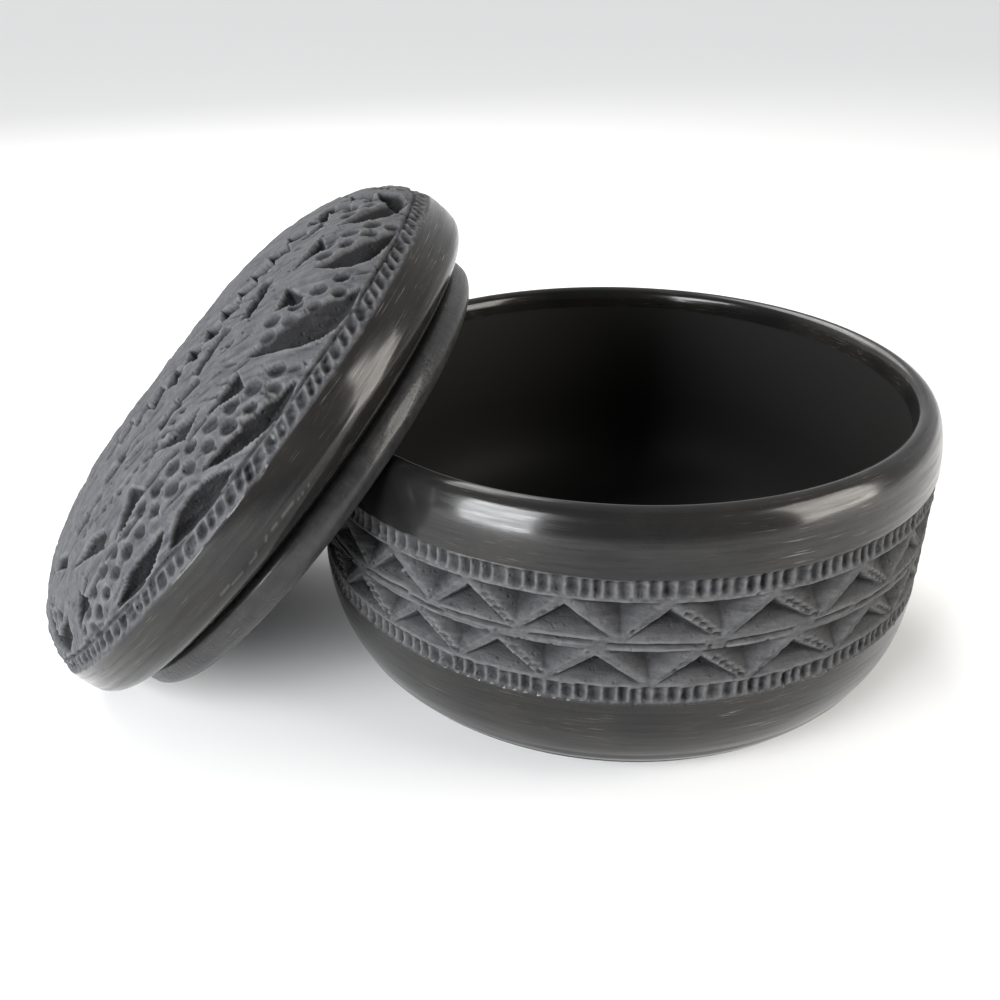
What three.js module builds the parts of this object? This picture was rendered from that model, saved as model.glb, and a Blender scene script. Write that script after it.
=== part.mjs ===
// A lidded box of burnished black clay: a round bowl with a chip-carved band, and its
// domed lid, which leans against the bowl's rim.
// Millimetres, +Z up. The origin is the middle of the bowl's foot, on the ground.
import * as THREE from 'three';

// Driving dimensions of the bowl.
const BOWL_RADIUS = 80;
const BOWL_HEIGHT = 75.3;
const FOOT_RADIUS = 46;
const BELLY_HEIGHT = 40;
const SHOULDER_START = 57;
const RIM_RADIUS = 74.3;
const MOUTH_RADIUS = 72;
const MOUTH_DROP = 2.9;
const INNER_RADIUS = 73;
const WALL_MIDDLE = (BOWL_RADIUS + INNER_RADIUS) / 2;
const FLOOR_THICKNESS = 8;
const FLOOR_RADIUS = 42;
const FLOOR_CORNER = 28;

// The carved band: two rows of triangular chips, with a plain line between them.
const CHIP_PERIODS = 24;
const CHIP_DEPTH = 3;
const UPPER_CHIPS = { low: 46.6, high: 56.2 };
const LOWER_CHIPS = { low: 35.2, high: 44 };
const BAND_EDGE = 0.5;

// Driving dimensions of the lid, whose own frame has its origin in the plane of its
// widest circle.
const LID_RADIUS = 75.4;
const LID_BAND = 1.7;
const DOME_RISE = 27.9;
const DOME_FLAT_RADIUS = 17.3;
const LIP_WIDTH = 10.25;
const LIP_DEPTH = 8.3;
const FLANGE_RADIUS = 66.85;
const FLANGE_TOP = -10.2;
const FLANGE_CORNER = -14.3;
const FLANGE_BOTTOM = -17.4;
const GROOVE_RADIUS = 64.7;
const LID_BORE_RADIUS = 61.4;
const LID_HOLLOW_RADIUS = 66;
const LID_CROWN_THICKNESS = 7;

// How the lid leans: its axis is tipped away from the bowl about Y.
const LID_TILT = THREE.MathUtils.degToRad(48);
const LID_CENTRE = new THREE.Vector3(-94.6, 0, 59.4);

const SEGMENTS_ROUND = CHIP_PERIODS * 4;

// Points along a quarter of a superellipse, from its end on the first axis to its end on
// the second. The exponent is 2 for an ellipse and more for a squarer corner.
function quarterCurve(centre, reach, exponent, steps) {
  const points = [];
  for (let step = 0; step <= steps; step += 1) {
    const angle = (step / steps) * Math.PI / 2;
    const across = Math.abs(Math.cos(angle)) ** (2 / exponent);
    const along = Math.sin(angle) ** (2 / exponent);
    const atEnd = step === steps;
    points.push(new THREE.Vector2(
      centre.x + reach.x * (atEnd ? 0 : across),
      centre.y + reach.y * along,
    ));
  }
  return points;
}

const point = (radius, height) => new THREE.Vector2(radius, height);

function bowlProfile() {
  const belly = quarterCurve(
    point(FOOT_RADIUS, BELLY_HEIGHT),
    point(BOWL_RADIUS - FOOT_RADIUS, -BELLY_HEIGHT),
    3,
    9,
  ).reverse();
  const shoulder = quarterCurve(
    point(RIM_RADIUS, SHOULDER_START),
    point(BOWL_RADIUS - RIM_RADIUS, BOWL_HEIGHT - SHOULDER_START),
    2.45,
    6,
  );
  const band = [LOWER_CHIPS, UPPER_CHIPS].flatMap(({ low, high }) => {
    const middle = (low + high) / 2;
    return [low - BAND_EDGE, low, middle, high, high + BAND_EDGE];
  });
  const bellyBelowBand = belly.filter(({ y }) => y < band[0] - 1);
  const insideCorner = quarterCurve(
    point(FLOOR_RADIUS, FLOOR_THICKNESS + FLOOR_CORNER),
    point(INNER_RADIUS - FLOOR_RADIUS, -FLOOR_CORNER),
    2.6,
    5,
  );
  return [
    point(0, 0),
    ...bellyBelowBand,
    ...band.map((height) => point(bellyRadius(height), height)),
    ...shoulder,
    point((RIM_RADIUS + MOUTH_RADIUS) / 2 - 0.4, BOWL_HEIGHT - MOUTH_DROP / 4),
    point(MOUTH_RADIUS, BOWL_HEIGHT - MOUTH_DROP),
    ...insideCorner,
    point(0, FLOOR_THICKNESS),
  ];
}

// The outside radius of the wall at a height on the belly or above it.
function bellyRadius(height) {
  const below = Math.max(0, 1 - height / BELLY_HEIGHT);
  return FOOT_RADIUS + (BOWL_RADIUS - FOOT_RADIUS) * (1 - below ** 3) ** (1 / 3);
}

// How far the chip carving cuts into the wall at a height and at a place in its period,
// from 0 to 1. Upper chips point down and lower chips point up.
function chipDepth(height, place) {
  const fromMiddle = Math.abs(2 * place - 1);
  const rowDepth = ({ low, high }, up) => {
    if (height < low || height > high) return 0;
    const reach = (height - low) / (high - low);
    return CHIP_DEPTH * Math.max(0, (up ? reach : 1 - reach) - fromMiddle);
  };
  return rowDepth(UPPER_CHIPS, true) + rowDepth(LOWER_CHIPS, false);
}

// A solid of revolution about +Z from a profile that starts and ends on the axis.
function turnedSolid(profile) {
  return new THREE.LatheGeometry(profile, SEGMENTS_ROUND).rotateX(Math.PI / 2);
}

function carveBand(geometry, profileLength) {
  const positions = geometry.attributes.position;
  for (let index = 0; index < positions.count; index += 1) {
    const around = Math.floor(index / profileLength) % SEGMENTS_ROUND;
    const place = ((around * CHIP_PERIODS) / SEGMENTS_ROUND) % 1;
    const radius = Math.hypot(positions.getX(index), positions.getY(index));
    if (radius < WALL_MIDDLE) continue;
    const scale = 1 - chipDepth(positions.getZ(index), place) / radius;
    positions.setX(index, positions.getX(index) * scale);
    positions.setY(index, positions.getY(index) * scale);
  }
  geometry.computeVertexNormals();
  return geometry;
}

function makeBowl() {
  const profile = bowlProfile();
  const bowl = new THREE.Mesh(
    carveBand(turnedSolid(profile), profile.length),
    new THREE.MeshStandardMaterial({ color: 0x2c2c2d, roughness: 0.35, metalness: 0 }),
  );
  bowl.name = 'bowl';
  return bowl;
}

function lidProfile() {
  const dome = quarterCurve(
    point(DOME_FLAT_RADIUS, LID_BAND),
    point(LID_RADIUS - DOME_FLAT_RADIUS, DOME_RISE),
    2.1,
    10,
  );
  const lip = quarterCurve(
    point(LID_RADIUS - LIP_WIDTH, 0),
    point(LIP_WIDTH, -LIP_DEPTH),
    2.5,
    5,
  ).reverse();
  const hollowTop = LID_BAND + DOME_RISE - LID_CROWN_THICKNESS;
  const hollow = quarterCurve(
    point(DOME_FLAT_RADIUS / 2, -2),
    point(LID_HOLLOW_RADIUS - DOME_FLAT_RADIUS / 2, hollowTop + 2),
    2.1,
    7,
  ).reverse();
  return [
    point(0, hollowTop),
    ...hollow,
    point(LID_BORE_RADIUS, -9),
    point(LID_BORE_RADIUS, FLANGE_BOTTOM + 1.4),
    point((LID_BORE_RADIUS + GROOVE_RADIUS) / 2, FLANGE_BOTTOM),
    point(FLANGE_RADIUS - 1.75, FLANGE_BOTTOM + 1),
    point(FLANGE_RADIUS, FLANGE_CORNER),
    point(FLANGE_RADIUS, FLANGE_TOP),
    point(GROOVE_RADIUS, -LIP_DEPTH - 0.4),
    ...lip,
    ...dome,
    point(0, LID_BAND + DOME_RISE),
  ];
}

function makeLid() {
  const lid = new THREE.Mesh(
    turnedSolid(lidProfile()),
    new THREE.MeshStandardMaterial({ color: 0x4b4b4d, roughness: 0.5, metalness: 0 }),
  );
  lid.name = 'lid';
  lid.position.copy(LID_CENTRE);
  lid.rotation.y = -LID_TILT;
  return lid;
}

const claybox = new THREE.Group();
claybox.add(makeBowl(), makeLid());

export default claybox;
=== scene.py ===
"""The looks of a lidded box of burnished black clay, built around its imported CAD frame.

The bowl and the lid are each one closed surface turned about its own axis, in millimetres.
Carving is cut inward along the surface's normal: chips, gouged teeth, punched dots, slits.
"""

import math

import bpy
import numpy as np
from mathutils import Matrix, Vector


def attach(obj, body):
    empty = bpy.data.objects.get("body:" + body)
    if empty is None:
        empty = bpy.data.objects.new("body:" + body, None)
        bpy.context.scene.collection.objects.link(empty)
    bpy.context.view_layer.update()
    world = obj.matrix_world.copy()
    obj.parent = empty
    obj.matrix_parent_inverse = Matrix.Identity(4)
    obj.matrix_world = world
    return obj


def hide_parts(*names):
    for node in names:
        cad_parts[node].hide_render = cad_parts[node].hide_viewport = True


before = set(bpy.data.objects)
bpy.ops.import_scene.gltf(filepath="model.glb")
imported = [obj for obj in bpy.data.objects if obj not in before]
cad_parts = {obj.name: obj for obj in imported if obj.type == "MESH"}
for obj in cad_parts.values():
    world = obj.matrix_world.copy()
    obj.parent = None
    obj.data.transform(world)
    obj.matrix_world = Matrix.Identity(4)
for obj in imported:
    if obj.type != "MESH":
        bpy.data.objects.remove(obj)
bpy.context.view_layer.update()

MM = 0.001
rng = np.random.default_rng(7)

# The bowl's outline, as in the CAD part.
BOWL_RADIUS = 80.0
BOWL_HEIGHT = 75.3
FOOT_RADIUS = 46.0
BELLY_HEIGHT = 40.0
BELLY_EXPONENT = 3
SHOULDER_START = 57.0
SHOULDER_EXPONENT = 2.45
RIM_RADIUS = 74.3
MOUTH_RADIUS = 72.0
MOUTH_DROP = 2.9
INNER_RADIUS = 73.0
FLOOR_THICKNESS = 8.0
FLOOR_RADIUS = 42.0
FLOOR_CORNER = 28.0
FLOOR_EXPONENT = 2.6

# The bowl's carved band, from bottom to top.
LOWER_TEETH = (30.2, 34.8)
LOWER_CHIPS = (35.4, 44.1)
SLIT_HEIGHT = 45.6
UPPER_CHIPS = (46.8, 56.0)
UPPER_TEETH = (56.5, 61.2)
BOWL_TEETH = 176
CHIP_PERIODS = 24
CHIP_DEPTH = 3.9
TOOTH_DEPTH = 1.5

# The lid's outline, from the plane of its widest circle, as in the CAD part.
LID_RADIUS = 75.4
LID_BAND = 1.7
DOME_RISE = 27.9
DOME_FLAT_RADIUS = 17.3
DOME_EXPONENT = 2.1
LIP_WIDTH = 10.25
LIP_DEPTH = 8.3
LIP_EXPONENT = 2.5
FLANGE_RADIUS = 66.85
FLANGE_TOP = -10.2
FLANGE_CORNER = -14.3
FLANGE_BOTTOM = -17.4
GROOVE_RADIUS = 64.7
LID_BORE_RADIUS = 61.4
LID_HOLLOW_RADIUS = 66.0
LID_CROWN_THICKNESS = 7.0
LID_TILT = math.radians(48)
LID_CENTRE = Vector((-94.6, 0.0, 59.4))

# The lid's carving. Distances are measured over the dome from its middle.
LID_TEETH = 144
LID_TEETH_BAND = (80.9, 84.0)
LID_TOOTH_DEPTH = 1.1
MOTIF_TURNS = (0, 120, 240)
ROSETTE_LEAVES = 8


def quarter_curve(centre, reach, exponent, count=160):
    """Points on a quarter of a superellipse, from its end on the first axis."""
    angle = np.linspace(0, math.pi / 2, count)
    across = np.abs(np.cos(angle)) ** (2 / exponent)
    along = np.sin(angle) ** (2 / exponent)
    across[-1] = 0
    return np.column_stack([centre[0] + reach[0] * across, centre[1] + reach[1] * along])


def even_points(outline, spacing):
    """Points along an outline, evenly spaced."""
    outline = np.asarray(outline, float)
    steps = np.hypot(*np.diff(outline, axis=0).T)
    length = np.concatenate([[0], np.cumsum(steps)])
    count = max(2, round(length[-1] / spacing) + 1)
    at = np.linspace(0, length[-1], count)
    return np.column_stack([np.interp(at, length, outline[:, k]) for k in (0, 1)])


def rounded(outline, reach=0.8, steps=4):
    """An outline with each inner corner replaced by a short curve."""
    outline = [np.asarray(p, float) for p in outline]
    points = [outline[0]]
    for before, corner, after in zip(outline, outline[1:], outline[2:]):
        back = min(reach, np.linalg.norm(before - corner) / 2)
        ahead = min(reach, np.linalg.norm(after - corner) / 2)
        start = corner + (before - corner) / np.linalg.norm(before - corner) * back
        end = corner + (after - corner) / np.linalg.norm(after - corner) * ahead
        for t in np.linspace(0, 1, steps + 1):
            points.append((1 - t) ** 2 * start + 2 * t * (1 - t) * corner + t * t * end)
    points.append(outline[-1])
    return np.array(points)


def split_at_radius(outline, radius):
    """The two parts of an outline, which share the last point before it passes a radius."""
    inside = outline[:, 0] < radius
    end = np.flatnonzero(inside != inside[0])[0]
    return outline[:end], outline[end - 1:]


class TurnedSurface:
    """A closed surface turned about +Z, from one pole to the other.

    Each section is (outline, spacing, columns). Neighbouring sections have the same
    number of columns, or one has twice the other's.
    """

    def __init__(self, sections):
        points = []
        columns = []
        for outline, spacing, count in sections:
            rows = even_points(outline, spacing)
            if points:
                rows = rows[1:]
            points.extend(rows)
            columns.extend([count] * len(rows))
        points = np.array(points)
        slope = np.gradient(points, axis=0)
        slope /= np.linalg.norm(slope, axis=1)[:, None]
        steps = np.hypot(*np.diff(points, axis=0).T)
        travelled = np.concatenate([[0], np.cumsum(steps)])
        self.columns = [1] + columns[1:-1] + [1]
        self.start = np.concatenate([[0], np.cumsum(self.columns)])
        row = np.repeat(np.arange(len(points)), self.columns)
        column = np.arange(len(row)) - self.start[row]
        counts = np.array(self.columns)[row]
        self.angle = 2 * math.pi * column / counts - math.pi
        self.radius = points[row, 0]
        self.height = points[row, 1]
        self.travelled = travelled[row]
        self.out_radius = slope[row, 1]
        self.out_height = -slope[row, 0]

    def faces(self):
        """Triangles between the rows, facing outward."""
        parts = []
        for row in range(len(self.columns) - 1):
            parts.append(self._strip(row, row + 1))
        return np.concatenate(parts)

    def _strip(self, low, high):
        few, many = sorted((low, high), key=lambda row: self.columns[row])
        fewer, more = self.columns[few], self.columns[many]
        j = np.arange(more)
        inner = self.start[many] + j
        following = self.start[many] + (j + 1) % more
        step = j * fewer // more
        near = self.start[few] + step
        near_next = self.start[few] + (step + 1) % fewer
        fan = np.column_stack([near, inner, following])
        if fewer == 1:
            triangles = fan
        else:
            last = (j + 1) * fewer % more == 0 if more > fewer else j >= 0
            bridge = np.column_stack([near, following, near_next])[last]
            triangles = np.concatenate([fan, bridge])
        return triangles if many == low else triangles[:, ::-1]

    def cut(self, depth):
        """The surface's points after carving to a depth, in millimetres."""
        radius = self.radius - depth * self.out_radius
        height = self.height - depth * self.out_height
        return np.column_stack([
            radius * np.cos(self.angle),
            radius * np.sin(self.angle),
            height,
        ])


class Carving:
    """The depth of carving at points of an unrolled surface, in millimetres."""

    def __init__(self, x, y):
        self.x = x
        self.y = y
        self.depth = np.zeros_like(x)

    def _near(self, low, high):
        inside = (self.x > low[0]) & (self.x < high[0])
        inside &= (self.y > low[1]) & (self.y < high[1])
        return np.flatnonzero(inside)

    def _deepen(self, where, depth):
        self.depth[where] = np.maximum(self.depth[where], depth)

    def pocket(self, corners, deepest, depth, crisp=1.0):
        """A convex pocket whose flat facets slope from its edges to its deepest point."""
        corners = np.asarray(corners, float)
        deepest = np.asarray(deepest, float)
        where = self._near(corners.min(0), corners.max(0))
        if not len(where):
            return
        points = np.column_stack([self.x[where], self.y[where]])
        share = np.full(len(where), np.inf)
        for a, b in zip(corners, np.roll(corners, -1, axis=0)):
            normal = np.array([a[1] - b[1], b[0] - a[0]])
            full = (deepest - a) @ normal
            share = np.minimum(share, (points - a) @ normal / full)
        self._deepen(where, depth * np.clip(share, 0, 1) ** crisp)

    def leaf(self, tips, sides, depth, lean=0.72):
        """A pocket with two tips and two curved sides, deepest near the second side."""
        tips = np.asarray(tips, float)
        sides = np.asarray(sides, float)
        middle = tips.mean(0)
        outline = []
        for side, (start, end) in zip(sides, (tips, tips[::-1])):
            control = 2 * side - middle
            for t in np.linspace(0, 1, 7)[:-1]:
                outline.append(
                    (1 - t) ** 2 * start + 2 * t * (1 - t) * control + t * t * end
                )
        deepest = sides[0] * (1 - lean) + sides[1] * lean
        self.pocket(outline, deepest, depth, crisp=0.5)

    def dimple(self, centre, half_size, turn, depth):
        """A round-bottomed oval punch mark."""
        reach = max(half_size)
        centre = np.asarray(centre, float)
        where = self._near(centre - reach, centre + reach)
        x = self.x[where] - centre[0]
        y = self.y[where] - centre[1]
        along = (x * math.cos(turn) + y * math.sin(turn)) / half_size[0]
        across = (y * math.cos(turn) - x * math.sin(turn)) / half_size[1]
        self._deepen(where, depth * np.clip(1 - along**2 - across**2, 0, 1) ** 0.6)

    def stroke(self, start, end, width, depth):
        """A V-shaped knife stroke that tapers at both ends."""
        start = np.asarray(start, float)
        end = np.asarray(end, float)
        low = np.minimum(start, end) - width
        high = np.maximum(start, end) + width
        where = self._near(low, high)
        line = end - start
        points = np.column_stack([self.x[where], self.y[where]]) - start
        t = np.clip(points @ line / (line @ line), 0, 1)
        away = np.linalg.norm(points - t[:, None] * line, axis=1)
        taper = np.clip(4 * t * (1 - t), 0, 1) ** 0.4
        self._deepen(where, depth * taper * np.clip(1 - 2 * away / width, 0, 1))


def wobble(x, y, wavelength, seed, waves=14):
    """A smooth random field between about -1 and 1."""
    local = np.random.default_rng(seed)
    total = np.zeros_like(x)
    for _ in range(waves):
        turn = local.uniform(0, 2 * math.pi)
        pace = 2 * math.pi / (wavelength * local.uniform(0.6, 1.8))
        total += np.sin(
            (x * math.cos(turn) + y * math.sin(turn)) * pace
            + local.uniform(0, 2 * math.pi)
        )
    return total / math.sqrt(waves)


def smooth_step(value, low, high):
    t = np.clip((value - low) / (high - low), 0, 1)
    return t * t * (3 - 2 * t)


def teeth(angle, count, across_position, band, round_end, seed):
    """The depth share of a ring of gouged teeth, from 0 to 1. Each gouge is cut off
    square at one end of the band and is round at the other."""
    low, high = band
    turns = angle / (2 * math.pi) * count
    turns = turns + 0.16 * np.sin(angle * 17 + seed) + 0.1 * np.sin(angle * 41 + 2 * seed)
    index = np.floor(turns) % count
    fraction = turns - np.floor(turns)
    side = np.abs(2 * fraction - 1)
    varied = np.random.default_rng(seed).uniform(-1, 1, (3, count))[:, index.astype(int)]
    reach = (across_position - low) / (high - low)
    if round_end == "high":
        reach = 1 - reach
    reach = reach + 0.06 * varied[0]
    end = np.clip((0.42 - reach) / 0.42, 0, None)
    bowl_shape = np.clip(1 - side**1.6 - end**2, 0, 1) ** 0.8
    square_end = smooth_step(1 - reach, 0.0, 0.12)
    inside = (reach > 0) & (reach < 1)
    return bowl_shape * square_end * inside * (0.85 + 0.15 * varied[1])


def bowl_sections():
    belly = quarter_curve(
        (FOOT_RADIUS, BELLY_HEIGHT),
        (BOWL_RADIUS - FOOT_RADIUS, -BELLY_HEIGHT),
        BELLY_EXPONENT,
    )[::-1]
    band_low = LOWER_TEETH[0] - 1
    band_high = UPPER_TEETH[1] + 1
    below = belly[belly[:, 1] <= band_low]
    shoulder = quarter_curve(
        (RIM_RADIUS, SHOULDER_START),
        (BOWL_RADIUS - RIM_RADIUS, BOWL_HEIGHT - SHOULDER_START),
        SHOULDER_EXPONENT,
    )
    above = shoulder[shoulder[:, 1] >= band_high]
    band = np.vstack([
        below[-1],
        belly[belly[:, 1] > band_low],
        shoulder[shoulder[:, 1] < band_high],
        above[0],
    ])
    corner = quarter_curve(
        (FLOOR_RADIUS, FLOOR_THICKNESS + FLOOR_CORNER),
        (INNER_RADIUS - FLOOR_RADIUS, -FLOOR_CORNER),
        FLOOR_EXPONENT,
    )
    mouth = (MOUTH_RADIUS, BOWL_HEIGHT - MOUTH_DROP)
    lip_top = ((RIM_RADIUS + MOUTH_RADIUS) / 2 - 0.4, BOWL_HEIGHT - MOUTH_DROP / 4)
    lip = rounded([above[-1], lip_top, mouth, corner[0]], reach=1.2)
    columns = BOWL_TEETH * 8
    return [
        ([(0, 0), (30, 0)], 3.0, columns // 8),
        ([(30, 0), (FOOT_RADIUS, 0)], 2.0, columns // 4),
        (below, 0.9, columns // 2),
        (band, 0.34, columns),
        (above, 0.6, columns // 2),
        (lip, 0.6, columns // 4),
        (corner, 1.5, columns // 4),
        ([(FLOOR_RADIUS, FLOOR_THICKNESS), (15, FLOOR_THICKNESS)], 2.0, columns // 8),
        ([(15, FLOOR_THICKNESS), (0, FLOOR_THICKNESS)], 1.5, columns // 16),
    ]


def chip_knots():
    """Where the chips' periods start round the bowl, in degrees. Those in front are listed
    one by one, and the rest share what is left evenly."""
    front = [-128.1, -113.5, -97.7, -82.4, -66.1, -50.0]
    rest = np.linspace(front[-1], front[0] + 360, CHIP_PERIODS - len(front) + 2)
    return np.concatenate([front, rest[1:-1]])


def carve_chip_row(carving, band, phase, hatch_chance):
    """A zigzag of ridges round the bowl, with a triangular pocket on each side of it."""
    low, high = band
    around = 2 * math.pi * BOWL_RADIUS
    starts = np.radians(chip_knots()) * BOWL_RADIUS + phase
    starts = np.append(starts, starts[0] + around)
    ridge = 0.45
    for start, end in zip(starts[:-1], starts[1:]):
        jitter = rng.uniform(-0.5, 0.5, 4)
        peak = start + (end - start) * 0.46 + jitter[0]
        previous = start - (end - start) * 0.54 + jitter[0]
        depth = CHIP_DEPTH * (1 + 0.12 * jitter[1])
        for turn in (-around, 0, around):
            if not -around * 0.6 < start + turn < around * 0.6:
                continue
            carving.pocket(
                [
                    (start + turn, low + ridge + 0.3),
                    (peak + turn - 2 * ridge, high),
                    (previous + turn + 2 * ridge, high),
                ],
                (start + turn - 0.3 + jitter[2], high - 1.7),
                depth,
                crisp=0.9,
            )
            carving.pocket(
                [
                    (start + turn + 2 * ridge, low),
                    (end + turn - 2 * ridge, low),
                    (peak + turn + 0.2, high - ridge - 0.9),
                ],
                (peak + turn + 0.3 * jitter[3], high - 4.1),
                depth,
                crisp=0.9,
            )
            hatch_ridge(carving, (peak + turn, high), (end + turn, low), hatch_chance)


def hatch_ridge(carving, top, bottom, chance):
    """Short nicks across the lower part of a ridge."""
    if rng.uniform() > chance:
        return
    for share in np.arange(0.35, 0.95, 0.14):
        x = top[0] + (bottom[0] - top[0]) * share + rng.uniform(-0.3, 0.3)
        y = top[1] + (bottom[1] - top[1]) * share
        reach = rng.uniform(0.8, 1.3)
        carving.stroke((x - reach, y + 0.4), (x + reach, y - 0.2), 0.95, 1.5)


def carve_slit_line(carving):
    """A broken line of knife strokes round the bowl, between the two rows of chips."""
    around = 2 * math.pi * BOWL_RADIUS
    x = -around / 2
    while x < around / 2:
        length = rng.uniform(9, 24)
        y = SLIT_HEIGHT + rng.uniform(-0.4, 0.4)
        carving.stroke((x, y), (x + length, y + rng.uniform(-0.7, 0.7)), 1.2, 1.8)
        x += length * rng.uniform(0.85, 1.4)


def scatter_pores(carving, count, low, high):
    """Small round pores left by grit in the clay."""
    for _ in range(count):
        centre = rng.uniform(low, high)
        size = rng.uniform(0.35, 0.7)
        carving.dimple(centre, (size, size * 0.8), rng.uniform(0, 3), size)


def scatter_gouges(carving, count, reach):
    """Shallow marks of the knife that levelled the ground of the carving, mostly in one
    direction."""
    for _ in range(count):
        centre = rng.uniform(-reach, reach, 2)
        turn = rng.normal(0, 0.3)
        half = rng.uniform(2.5, 6) * np.array([math.cos(turn), math.sin(turn)])
        width = rng.uniform(0.9, 2.0)
        depth = rng.uniform(0.25, 0.8)
        carving.stroke(centre - half, centre + half, width, depth)


def carve_bowl(surface):
    """The depth of the carving at each point of the bowl, and how far it is carved
    ground and not skin, from 0 to 1."""
    x = surface.angle * BOWL_RADIUS
    z = surface.height
    outside = surface.radius > INNER_RADIUS + 2
    low = LOWER_TEETH[0]
    high = UPPER_TEETH[1]
    carved = smooth_step(z, low - 0.2, low + 0.3) * outside
    carved *= 1 - smooth_step(z, high - 0.2, high + 0.2)
    band = np.flatnonzero(carved > 0)
    carving = Carving(x[band], z[band])
    carve_chip_row(carving, UPPER_CHIPS, 0.0, 0.5)
    carve_chip_row(carving, LOWER_CHIPS, 6.6, 0.8)
    carve_slit_line(carving)
    half = math.pi * BOWL_RADIUS
    scatter_pores(carving, 420, (-half, LOWER_CHIPS[0]), (half, UPPER_CHIPS[1]))
    tools = 0.07 * wobble(x, z * 2.5, 6, seed=3) + 0.02 * wobble(x, z * 2, 2.2, seed=4)
    depth = np.zeros_like(x)
    depth[band] = carving.depth
    for row, seed in ((UPPER_TEETH, 5), (LOWER_TEETH, 9)):
        notches = teeth(surface.angle, BOWL_TEETH, z, row, "low", seed)
        depth += TOOTH_DEPTH * notches * outside
    depth += carved * (0.35 + tools)
    # The hand-burnished wall is a little uneven.
    hand = 0.16 * (1 + wobble(x * 0.35, z, 34, seed=11) / 2).clip(0, 2)
    walls = (z > 4) & outside
    return depth + hand * walls * (1 - carved), carved


def on_dome(degrees, travelled):
    """A place on the lid in its carving's plan: its distance over the dome from the
    middle, at its angle."""
    angle = math.radians(degrees)
    return np.array([travelled * math.cos(angle), travelled * math.sin(angle)])


def dotted_ribbon(carving, places, pitch, gap, size, depth):
    """Two staggered rows of oval punch marks along a line."""
    line = np.array(places)
    fine = even_points(line, 0.25)
    steps = np.hypot(*np.diff(fine, axis=0).T)
    length = np.concatenate([[0], np.cumsum(steps)])
    for index, at in enumerate(np.arange(pitch / 2, length[-1], pitch / 2)):
        place = np.array([np.interp(at, length, fine[:, k]) for k in (0, 1)])
        ahead = np.array([np.interp(at + 1, length, fine[:, k]) for k in (0, 1)])
        direction = ahead - place
        turn = math.atan2(direction[1], direction[0]) + rng.uniform(-0.25, 0.25)
        side = np.array([-direction[1], direction[0]]) * (gap if index % 2 else -gap)
        side = side / max(np.linalg.norm(direction), 1e-6)
        varied = size * rng.uniform(0.85, 1.1)
        carving.dimple(place + side, (varied, varied * 0.72), turn, depth)


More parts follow.
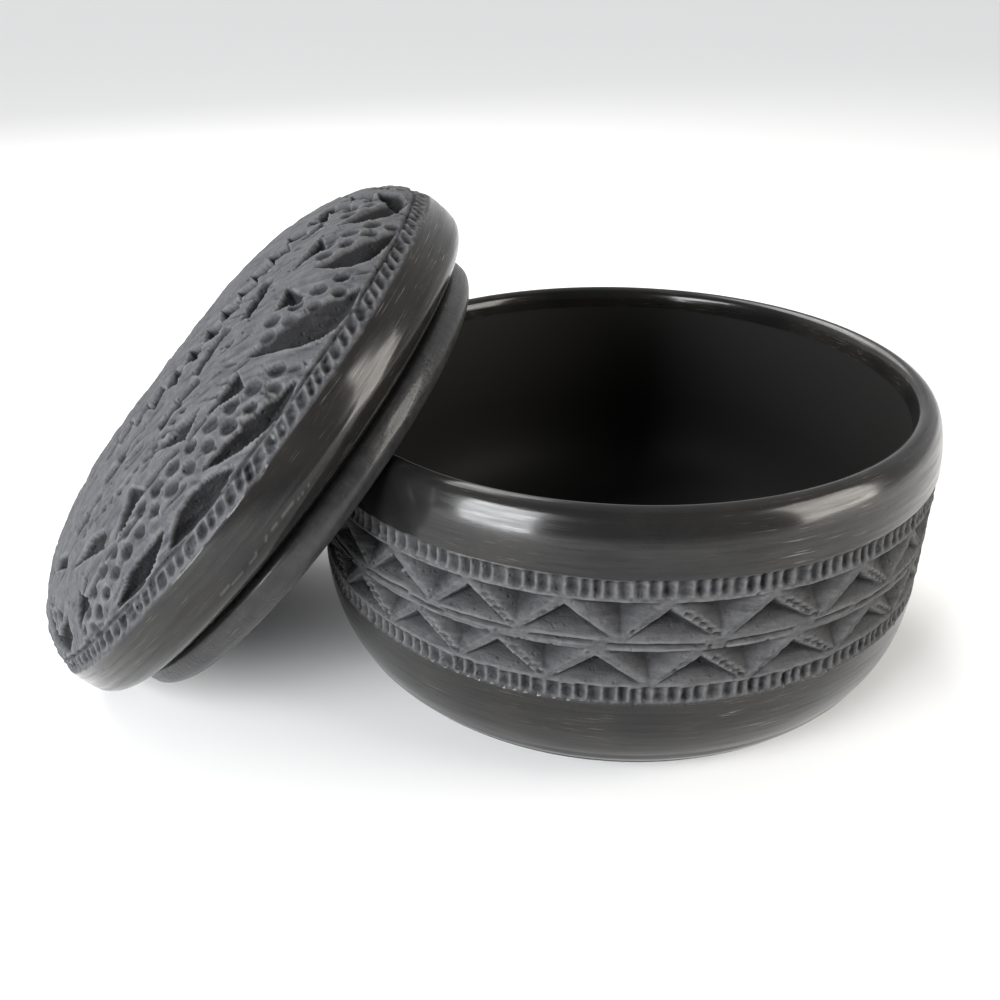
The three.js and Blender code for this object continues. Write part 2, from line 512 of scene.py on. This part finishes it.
def carve_motif(carving, turn):
    """One third of the lid's carving: a dotted swag between leaves, then three leaves
    that fan out."""

    def at(degrees, travelled):
        return on_dome(degrees + turn, travelled)

    # Leaves between the swag and the teeth: (tip, tip, inner side, outer side).
    long_leaves = [
        ((-106.7, 79.0), (-83.2, 73.7), (-95.8, 75.6), (-93.5, 79.9)),
        ((-87.7, 79.8), (-70.6, 79.6), (-79.0, 75.4), (-79.0, 80.6)),
        ((-76.2, 73.3), (-52.7, 79.2), (-64.0, 75.0), (-64.5, 79.9)),
        ((-54.7, 65.4), (-34.8, 79.8), (-43.3, 71.2), (-46.6, 78.4)),
        ((-32.2, 66.7), (-18.0, 80.3), (-25.4, 72.0), (-29.2, 77.3)),
        ((-16.9, 65.4), (-5.0, 79.8), (-9.8, 71.4), (-14.2, 76.0)),
        ((-129.5, 78.6), (-119.3, 71.7), (-126.0, 73.6), (-122.3, 78.0)),
    ]
    for tip, other, inner, outer in long_leaves:
        carving.leaf((at(*tip), at(*other)), (at(*inner), at(*outer)), 4.4)

    # Three-cornered and four-cornered pockets nearer the middle.
    pockets = [
        ((-116.6, 77.3), (-109.5, 72.9), (-112.3, 69.5)),
        ((-96.5, 68.5), (-85.3, 65.2), (-88.1, 60.8)),
        ((-82.8, 58.1), (-73.0, 65.6), (-66.7, 63.2)),
        ((-67.5, 66.4), (-59.7, 70.3), (-57.6, 65.6)),
        ((-114.4, 63.9), (-99.7, 67.2), (-98.3, 63.2), (-103.9, 61.4)),
        ((-44.0, 64.5), (-39.5, 69.5), (-37.5, 63.0)),
        ((-31.8, 60.8), (-25.4, 66.2), (-20.5, 62.9)),
        ((-17.5, 56.0), (-14.5, 62.0), (-11.0, 60.0)),
    ]
    for corners in pockets:
        outline = np.array([at(*corner) for corner in corners])
        middle = outline.mean(0)
        outline = order_round(outline, middle)
        carving.pocket(outline, middle * 1.012, 3.8, crisp=0.5)

    ribbons = [
        [(-118, 82), (-110, 76.3), (-104, 73.6), (-97, 71.2), (-90, 69.9), (-80, 69.6),
         (-70, 70.4), (-62, 72.8), (-55, 76.2)],
        [(-51.5, 64.5), (-44, 69.0), (-38, 73.5), (-33, 77.5)],
        [(-29.5, 64.0), (-24, 69.0), (-19, 74.5), (-16.5, 78.0)],
        [(-12.5, 63.5), (-8, 68.5), (-3.5, 75.0), (-1.5, 79.0)],
    ]
    for line in ribbons:
        places = [at(*place) for place in line]
        dotted_ribbon(carving, places, 5.9, 1.75, 2.1, 1.15)

    # A row of small dots, and slits, round the middle.
    for degrees in np.arange(-108, -68, 3.2):
        carving.dimple(at(degrees, 57.8 + rng.uniform(-0.6, 0.6)), (1.2, 0.9), 0, 0.8)
    slits = [
        ((-113.7, 55.4), (-100.4, 51.5)),
        ((-100.0, 48.4), (-89.5, 47.8)),
        ((-94.5, 46.4), (-80.4, 46.6)),
        ((-76.6, 54.6), (-62.5, 55.0)),
        ((-62.4, 52.2), (-48.2, 51.4)),
        ((-46.0, 56.0), (-33.0, 54.5)),
        ((-130.0, 58.0), (-118.0, 60.0)),
    ]
    for start, end in slits:
        carving.stroke(at(*start), at(*end), 3.6, 3.8)

    # Shallow tails that lead out of the pockets.
    tails = [
        ((-109.5, 72.9), (-101.5, 70.9)),
        ((-85.3, 64.9), (-75.0, 65.5)),
        ((-102.0, 69.5), (-96.5, 68.5)),
        ((-73.0, 66.5), (-67.5, 66.6)),
        ((-117.0, 80.0), (-108.0, 79.6)),
        ((-84.5, 73.4), (-77.5, 73.2)),
    ]
    for start, end in tails:
        carving.stroke(at(*start), at(*end), 1.6, 0.8)


def order_round(corners, middle):
    """Corners in order round their middle, anticlockwise."""
    turns = np.arctan2(corners[:, 1] - middle[1], corners[:, 0] - middle[0])
    return corners[np.argsort(turns)]


def carve_pit_row(carving, places):
    """Diamond pits along a line across the lid."""
    line = even_points([on_dome(*place) for place in places], 6.4)
    for before, place, after in zip(line, line[1:], line[2:]):
        along = (after - before) / np.linalg.norm(after - before)
        across = np.array([-along[1], along[0]])
        size = rng.uniform(1.1, 1.35)
        diamond = [
            place + along * 2.8 * size,
            place + across * 4.6 * size,
            place - along * 2.8 * size,
            place - across * 3.2 * size,
        ]
        carving.pocket(diamond, place - across * 0.2, 5.4, crisp=0.45)


def lid_sections():
    crown = LID_BAND + DOME_RISE
    dome = quarter_curve(
        (DOME_FLAT_RADIUS, LID_BAND),
        (LID_RADIUS - DOME_FLAT_RADIUS, DOME_RISE),
        DOME_EXPONENT,
    )
    lip = quarter_curve(
        (LID_RADIUS - LIP_WIDTH, 0), (LIP_WIDTH, -LIP_DEPTH), LIP_EXPONENT
    )[::-1]
    flange = rounded(
        [
            (LID_BORE_RADIUS, -9),
            (LID_BORE_RADIUS, FLANGE_BOTTOM + 1.4),
            ((LID_BORE_RADIUS + GROOVE_RADIUS) / 2, FLANGE_BOTTOM),
            (FLANGE_RADIUS - 1.75, FLANGE_BOTTOM + 1),
            (FLANGE_RADIUS, FLANGE_CORNER),
            (FLANGE_RADIUS, FLANGE_TOP),
            (GROOVE_RADIUS, -LIP_DEPTH - 0.4),
            tuple(lip[0]),
        ],
        reach=1.6,
    )
    hollow_top = crown - LID_CROWN_THICKNESS
    hollow = quarter_curve(
        (DOME_FLAT_RADIUS / 2, -2),
        (LID_HOLLOW_RADIUS - DOME_FLAT_RADIUS / 2, hollow_top + 2),
        DOME_EXPONENT,
    )[::-1]
    hollow_middle, hollow_side = split_at_radius(
        np.vstack([(0, hollow_top), hollow, (LID_BORE_RADIUS, -9)]), 30
    )
    side, face = split_at_radius(np.vstack([dome, (0, crown)]), LID_RADIUS - 0.2)
    outer, rest = split_at_radius(face, 48)
    middle, inner = split_at_radius(rest, 24)
    columns = LID_TEETH * 10
    return [
        (hollow_middle, 2.0, columns // 16),
        (hollow_side, 1.6, columns // 8),
        (flange, 0.5, columns // 4),
        (np.vstack([lip, side]), 0.5, columns // 2),
        (outer, 0.36, columns),
        (middle, 0.45, columns // 2),
        (inner, 0.6, columns // 4),
    ]


def carve_lid(surface):
    """The depth of the carving at each point of the lid, and how far it is carved
    ground and not skin, from 0 to 1."""
    crown = surface.travelled.max()
    travelled = crown - surface.travelled
    low, high = LID_TEETH_BAND
    outside = (surface.out_height > -0.2) & (surface.height > -LIP_DEPTH)
    outside &= travelled < 100
    carved = (1 - smooth_step(travelled, high - 0.1, high + 0.9)) * outside
    x = travelled * np.cos(surface.angle)
    y = travelled * np.sin(surface.angle)
    face = np.flatnonzero(carved > 0)
    carving = Carving(x[face], y[face])
    for turn in MOTIF_TURNS:
        carve_motif(carving, turn)
    # The pits run round the middle in an open horseshoe: a long side that ends near the
    # teeth, its mirror image, and an arc between them.
    pit_line = [
        (-112, 36), (-101, 37), (-93, 37.5), (-83.5, 38.5), (-76, 41), (-67, 42.5),
        (-53, 44.5), (-46, 45.5), (-38, 47), (-31, 48), (-23, 49.3), (-16.5, 51),
        (-11, 55), (-6.5, 61), (-2, 66.5), (2, 73.5),
    ]
    carve_pit_row(carving, pit_line)
    carve_pit_row(carving, [(50 - degrees, place) for degrees, place in pit_line])
    carve_pit_row(carving, [(degrees, 36.5) for degrees in range(-118, -196, -6)])
    for turn in range(0, 360, 360 // ROSETTE_LEAVES):
        carving.leaf(
            (on_dome(turn, 6), on_dome(turn, 25)),
            (on_dome(turn - 14, 15), on_dome(turn + 14, 15)),
            3.6,
        )
    scatter_pores(carving, 500, (-82, -82), (82, 82))
    scatter_gouges(carving, 300, 80)
    depth = np.zeros_like(x)
    depth[face] = carving.depth * (1 - smooth_step(travelled[face], low - 0.8, low))
    slant = surface.angle + (travelled - low) * 0.009
    notches = teeth(slant, LID_TEETH, travelled, (low, high), "high", 3)
    depth += LID_TOOTH_DEPTH * notches * outside
    ring = np.clip(1 - np.abs(travelled - low + 0.3) / 0.6, 0, 1)
    depth += 0.9 * ring * outside
    knife = np.abs(wobble(x * 0.3, y, 5, seed=21))
    knife += 0.5 * np.abs(wobble(x * 0.4, y, 2.6, seed=22))
    depth += carved * (0.2 + 0.22 * knife) + carved * 0.12 * wobble(x, y, 9, seed=24)
    hand = 0.12 * (1 + wobble(x * 0.5, y * 0.5, 30, seed=23) / 2).clip(0, 2)
    return depth + hand * outside * (1 - carved), carved


def lid_wear(surface):
    """How dull the flange's skin is, and how bare the scratch along the lip is, at each
    point of the lid."""
    flange = smooth_step(-surface.height, LIP_DEPTH + 0.5, LIP_DEPTH + 2)
    flange *= surface.radius > LID_BORE_RADIUS + 0.5
    degrees = np.degrees(surface.angle)
    line = -3.9 + 0.35 * np.sin(surface.angle * 23) + 0.5 * np.sin(surface.angle * 5)
    scratch = np.abs(surface.height - line) < 0.22
    scratch &= (surface.radius > LID_BORE_RADIUS + 8) & (degrees > -89) & (degrees < -66)
    broken = wobble(surface.angle * 100, surface.height, 3, seed=31) > -0.3
    return 0.3 * flange, 0.1 * (scratch & broken)


def turned_object(name, surface, depth, carved, inside, marks, scratch=None, place=Matrix()):
    """The surface as an object in metres, with what its material reads as attributes."""
    mesh = bpy.data.meshes.new(name)
    mesh.from_pydata((surface.cut(depth) * MM).tolist(), [], surface.faces().tolist())
    mesh.transform(place)
    mesh.shade_smooth()
    values = {
        "carved": carved,
        # recess: the share of a chip's depth, which the material turns into painted shade in
        # the cuts
        "recess": np.clip(depth / CHIP_DEPTH, 0, 1),
        "inside": inside.astype(float),
        "scratch": np.zeros_like(depth) if scratch is None else scratch,
    }
    for key, value in values.items():
        attribute = mesh.attributes.new(key, "FLOAT", "POINT")
        attribute.data.foreach_set("value", value)
    # Noise over these coordinates is drawn out round the piece, as burnishing is.
    turned = np.column_stack([
        np.cos(surface.angle), np.sin(surface.angle), surface.travelled * 0.1
    ])
    for key, value in {"turned": turned, "marks": marks}.items():
        attribute = mesh.attributes.new(key, "FLOAT_VECTOR", "POINT")
        attribute.data.foreach_set("vector", value.ravel())
    piece = bpy.data.objects.new(name, mesh)
    bpy.context.scene.collection.objects.link(piece)
    return piece


class Nodes:
    """A short way to add nodes to a material and link them."""

    def __init__(self, material):
        material.use_nodes = True
        self.tree = material.node_tree
        self.tree.nodes.clear()

    def add(self, kind, inputs=(), **settings):
        node = self.tree.nodes.new(kind)
        for key, value in settings.items():
            setattr(node, key, value)
        for key, value in dict(inputs).items():
            self.set(node, key, value)
        return node

    def set(self, node, key, value):
        socket = node.inputs[key]
        if isinstance(value, bpy.types.NodeSocket):
            self.tree.links.new(value, socket)
        else:
            socket.default_value = value

    def attribute(self, name, output="Fac"):
        return self.add("ShaderNodeAttribute", attribute_name=name).outputs[output]

    def noise(self, vector, scale, detail=4.0, roughness=0.55):
        return self.add(
            "ShaderNodeTexNoise",
            {"Vector": vector, "Scale": scale, "Detail": detail, "Roughness": roughness},
        ).outputs["Fac"]

    def remap(self, value, from_low, from_high, to_low, to_high):
        return self.add("ShaderNodeMapRange", {
            "Value": value,
            "From Min": from_low,
            "From Max": from_high,
            "To Min": to_low,
            "To Max": to_high,
        }).outputs["Result"]

    def math(self, operation, first, second):
        return self.add(
            "ShaderNodeMath", {0: first, 1: second}, operation=operation
        ).outputs["Value"]

    def mix(self, factor, first, second):
        node = self.add("ShaderNodeMix", data_type="FLOAT")
        for index, value in ((0, factor), (2, first), (3, second)):
            self.set(node, index, value)
        return node.outputs[0]

    def mix_colour(self, factor, first, second):
        node = self.add("ShaderNodeMix", data_type="RGBA")
        for index, value in ((0, factor), (6, first), (7, second)):
            self.set(node, index, value)
        return node.outputs[2]

    def stretched(self, vector, scale):
        return self.add(
            "ShaderNodeMapping", {"Vector": vector, "Scale": scale}
        ).outputs["Vector"]


def clay_material(name, carved_colour, dusty_colour, painted_shade_from, painted_shade_at):
    """Black clay: satin and streaked where burnished, matte and gritty where carved. Shade
    is
    painted into the cuts: they darken with depth, from one share of a chip's depth to
    another, and in creases, and a highlight is painted along their edges."""
    material = bpy.data.materials.new(name)
    nodes = Nodes(material)
    place = nodes.add("ShaderNodeTexCoord").outputs["Object"]
    turned = nodes.attribute("turned", "Vector")
    carved = nodes.attribute("carved")
    recess = nodes.attribute("recess")
    inside = nodes.attribute("inside")
    marks = nodes.attribute("marks", "Vector")
    bare = nodes.attribute("scratch")
    edge = nodes.add("ShaderNodeNewGeometry").outputs["Pointiness"]

    knife = nodes.noise(marks, 2.4, detail=6, roughness=0.65)
    cloud = nodes.noise(place, 34, detail=5)
    grain = nodes.noise(place, 1500, detail=3)
    grit = nodes.noise(place, 420, detail=5, roughness=0.65)
    streak = nodes.noise(
        nodes.stretched(turned, (3.5, 3.5, 9.0)), 1.0, detail=6, roughness=0.7
    )
    hair = nodes.noise(nodes.stretched(turned, (9.0, 9.0, 42.0)), 1.0, detail=3)
    pores = nodes.add(
        "ShaderNodeTexVoronoi", {"Vector": place, "Scale": 520.0}
    ).outputs["Distance"]

    # Colour: the burnished skin is nearly black and its scuffs are grey. Cuts are grey, with
    # painted shade where they are deep and in creases, and a painted highlight along their
    # edges.
    scuffed = nodes.remap(cloud, 0.45, 0.65, 0, 0.5)
    scuffed = nodes.math("MULTIPLY", nodes.remap(hair, 0.62, 0.74, 0, 1), scuffed)
    tone = nodes.remap(cloud, 0.3, 0.7, 0, 1)
    skin = nodes.mix_colour(tone, (0.005, 0.005, 0.0055, 1), (0.014, 0.013, 0.0115, 1))
    skin = nodes.mix_colour(scuffed, skin, (0.24, 0.23, 0.21, 1))
    skin = nodes.mix_colour(inside, skin, (0.010, 0.010, 0.0095, 1))
    skin = nodes.mix_colour(bare, skin, (0.32, 0.31, 0.27, 1))
    worn = nodes.mix(0.5, grit, knife)
    cut = nodes.mix_colour(nodes.remap(worn, 0.36, 0.64, 0, 1), carved_colour, dusty_colour)
    # Painted shade: cuts darken with their depth.
    painted_depth_shade = nodes.remap(recess, painted_shade_from, painted_shade_at, 0, 0.95)
    # Painted highlight along ridges and edges, where Pointiness is high.
    ridge = nodes.remap(edge, 0.515, 0.6, 0, 0.6)
    # Painted shade in creases, where Pointiness is low.
    painted_crease_shade = nodes.remap(edge, 0.495, 0.44, 0, 0.85)
    cut = nodes.mix_colour(painted_depth_shade, cut, (0.009, 0.009, 0.010, 1))
    cut = nodes.mix_colour(ridge, cut, (0.13, 0.13, 0.13, 1))
    cut = nodes.mix_colour(painted_crease_shade, cut, (0.006, 0.006, 0.007, 1))
    colour = nodes.mix_colour(carved, skin, cut)

    # Finish: streaks from the burnishing stone vary the gloss.
    polish = nodes.remap(streak, 0.3, 0.7, 0.12, 0.30)
    polish = nodes.mix(inside, polish, 0.6)
    roughness = nodes.mix(carved, polish, nodes.remap(grit, 0.3, 0.7, 0.6, 0.82))
    matte = nodes.math("MAXIMUM", carved, inside)
    coat = nodes.mix(matte, nodes.remap(streak, 0.35, 0.65, 0.36, 0.1), 0.0)

    # Relief: burnishing lines on the skin, and grit, tool marks and pores in the cuts.
    lines = nodes.math("ADD", nodes.math("MULTIPLY", hair, 0.4), streak)
    cuts = nodes.math("ADD", grit, nodes.math("MULTIPLY", grain, 0.5))
    cuts = nodes.math("ADD", cuts, nodes.math("MULTIPLY", knife, 1.6))
    cuts = nodes.math("ADD", cuts, nodes.remap(pores, 0.0, 0.25, -0.9, 0.0))
    relief = nodes.mix(carved, nodes.math("MULTIPLY", lines, 0.05), cuts)
    bump = nodes.add("ShaderNodeBump", {
        "Height": relief, "Strength": 0.8, "Distance": 0.0004,
    }).outputs["Normal"]

    shader = nodes.add("ShaderNodeBsdfPrincipled", {
        "Base Color": colour,
        "Roughness": roughness,
        "Normal": bump,
        "Coat Weight": coat,
        "Coat Roughness": 0.12,
        "Coat IOR": 1.55,
        "IOR": 1.5,
        "Specular IOR Level": 0.15,
    })
    output = nodes.add("ShaderNodeOutputMaterial")
    nodes.set(output, "Surface", shader.outputs["BSDF"])
    return material


def make_bowl():
    surface = TurnedSurface(bowl_sections())
    depth, carved = carve_bowl(surface)
    inside = (surface.radius < MOUTH_RADIUS + 1.5) & (surface.height > FLOOR_THICKNESS - 1)
    inside &= surface.height < BOWL_HEIGHT - 2 * MOUTH_DROP
    marks = surface.cut(0) * (0.04, 0.04, 0.3)
    bowl = turned_object("bowl_clay", surface, depth, carved, inside, marks)
    # The last two numbers set where the painted shade in the cuts starts and where it is
    # full.
    bowl.data.materials.append(clay_material(
        "bowl clay", (0.024, 0.024, 0.026, 1), (0.064, 0.064, 0.065, 1), 0.18, 0.72
    ))
    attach(bowl, "bowl")
    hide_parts("bowl")


def make_lid():
    surface = TurnedSurface(lid_sections())
    depth, carved = carve_lid(surface)
    inside = surface.out_height < -0.2
    inside &= surface.radius < LID_HOLLOW_RADIUS + 0.1
    inside &= surface.height > FLANGE_BOTTOM + 3
    place = Matrix.Translation(LID_CENTRE * MM) @ Matrix.Rotation(-LID_TILT, 4, "Y")
    marks = surface.cut(0) * (0.05, 0.3, 0.05)
    dulled, scratch = lid_wear(surface)
    carved = np.maximum(carved, dulled)
    lid = turned_object("lid_clay", surface, depth, carved, inside, marks, scratch, place)
    # The last two numbers set where the painted shade in the cuts starts and where it is
    # full.
    lid.data.materials.append(clay_material(
        "lid clay", (0.027, 0.028, 0.032, 1), (0.072, 0.072, 0.075, 1), 0.12, 0.42
    ))
    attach(lid, "lid")
    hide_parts("lid")


def make_floor():
    """A plain pale floor that fills the picture."""
    reach = 14.0
    mesh = bpy.data.meshes.new("floor")
    below = -0.0001
    corners = [
        (x * reach, y * reach, below) for x, y in ((-1, -1), (1, -1), (1, 1), (-1, 1))
    ]
    mesh.from_pydata(corners, [], [(0, 1, 2, 3)])
    floor = bpy.data.objects.new("floor", mesh)
    bpy.context.scene.collection.objects.link(floor)
    material = bpy.data.materials.new("floor")
    nodes = Nodes(material)
    shader = nodes.add("ShaderNodeBsdfPrincipled", {
        "Base Color": (0.68, 0.68, 0.68, 1), "Roughness": 0.9, "Specular IOR Level": 0.1,
    })
    output = nodes.add("ShaderNodeOutputMaterial")
    nodes.set(output, "Surface", shader.outputs["BSDF"])
    mesh.materials.append(material)


def softbox(name, place, width, height, power, colour):
    """A soft light that faces the pot."""
    light = bpy.data.lights.new(name, "AREA")
    light.shape = "RECTANGLE"
    light.size = width
    light.size_y = height
    light.energy = power
    light.color = colour
    lamp = bpy.data.objects.new(name, light)
    lamp.location = place
    aim = Vector((-0.03, 0, 0.05)) - lamp.location
    lamp.rotation_euler = aim.to_track_quat("-Z", "Y").to_euler()
    bpy.context.scene.collection.objects.link(lamp)


def make_lights():
    world = bpy.data.worlds.new("studio")
    world.use_nodes = True
    tree = world.node_tree
    # The room is bright behind the pot and dim in front of it.
    direction = tree.nodes.new("ShaderNodeTexCoord").outputs["Generated"]
    split = tree.nodes.new("ShaderNodeSeparateXYZ")
    fade = tree.nodes.new("ShaderNodeMapRange")
    limits = {"From Min": -0.3, "From Max": 0.45, "To Min": 0.13, "To Max": 0.85}
    for key, value in limits.items():
        fade.inputs[key].default_value = value
    tree.links.new(direction, split.inputs["Vector"])
    tree.links.new(split.outputs["Y"], fade.inputs["Value"])
    tree.links.new(fade.outputs["Result"], tree.nodes["Background"].inputs["Strength"])
    tree.nodes["Background"].inputs["Color"].default_value = (0.97, 0.98, 1, 1)
    bpy.context.scene.world = world
    softbox("left softbox", (-0.62, -0.58, 0.26), 0.38, 0.66, 23, (0.96, 0.98, 1))
    softbox("right softbox", (0.80, -0.36, 0.36), 0.5, 0.68, 12.5, (1, 0.96, 0.9))
    softbox("back softbox", (-0.35, 0.75, 0.7), 0.8, 0.4, 4, (1, 0.97, 0.92))
    sun = bpy.data.lights.new("overhead", "SUN")
    sun.energy = 2.4
    sun.angle = math.radians(35)
    overhead = bpy.data.objects.new("overhead", sun)
    shining = Vector((0.35, -0.5, -0.79))
    overhead.rotation_euler = shining.to_track_quat("-Z", "Y").to_euler()
    bpy.context.scene.collection.objects.link(overhead)


def make_camera():
    """A viewpoint in front of the bowl, above its rim. Yaw is from +Y towards +X."""
    yaw, pitch, roll = (math.radians(angle) for angle in (2.12, -28.36, -0.577))
    ahead = Vector((
        math.sin(yaw) * math.cos(pitch), math.cos(yaw) * math.cos(pitch), math.sin(pitch)
    ))
    level = Vector((math.cos(yaw), -math.sin(yaw), 0))
    upright = level.cross(ahead)
    right = level * math.cos(roll) + upright * math.sin(roll)
    up = upright * math.cos(roll) - level * math.sin(roll)
    lens = bpy.data.cameras.new("camera")
    lens.sensor_width = 36
    lens.lens = 35.25
    lens.clip_start = 0.01
    lens.clip_end = 50
    camera = bpy.data.objects.new("camera", lens)
    turn = Matrix((right, up, -ahead)).transposed().to_4x4()
    camera.matrix_world = Matrix.Translation((-0.04067, -0.23897, 0.16643)) @ turn
    bpy.context.scene.collection.objects.link(camera)
    bpy.context.scene.camera = camera


make_bowl()
make_lid()
make_floor()
make_lights()
make_camera()
bpy.context.scene.view_settings.view_transform = "Standard"
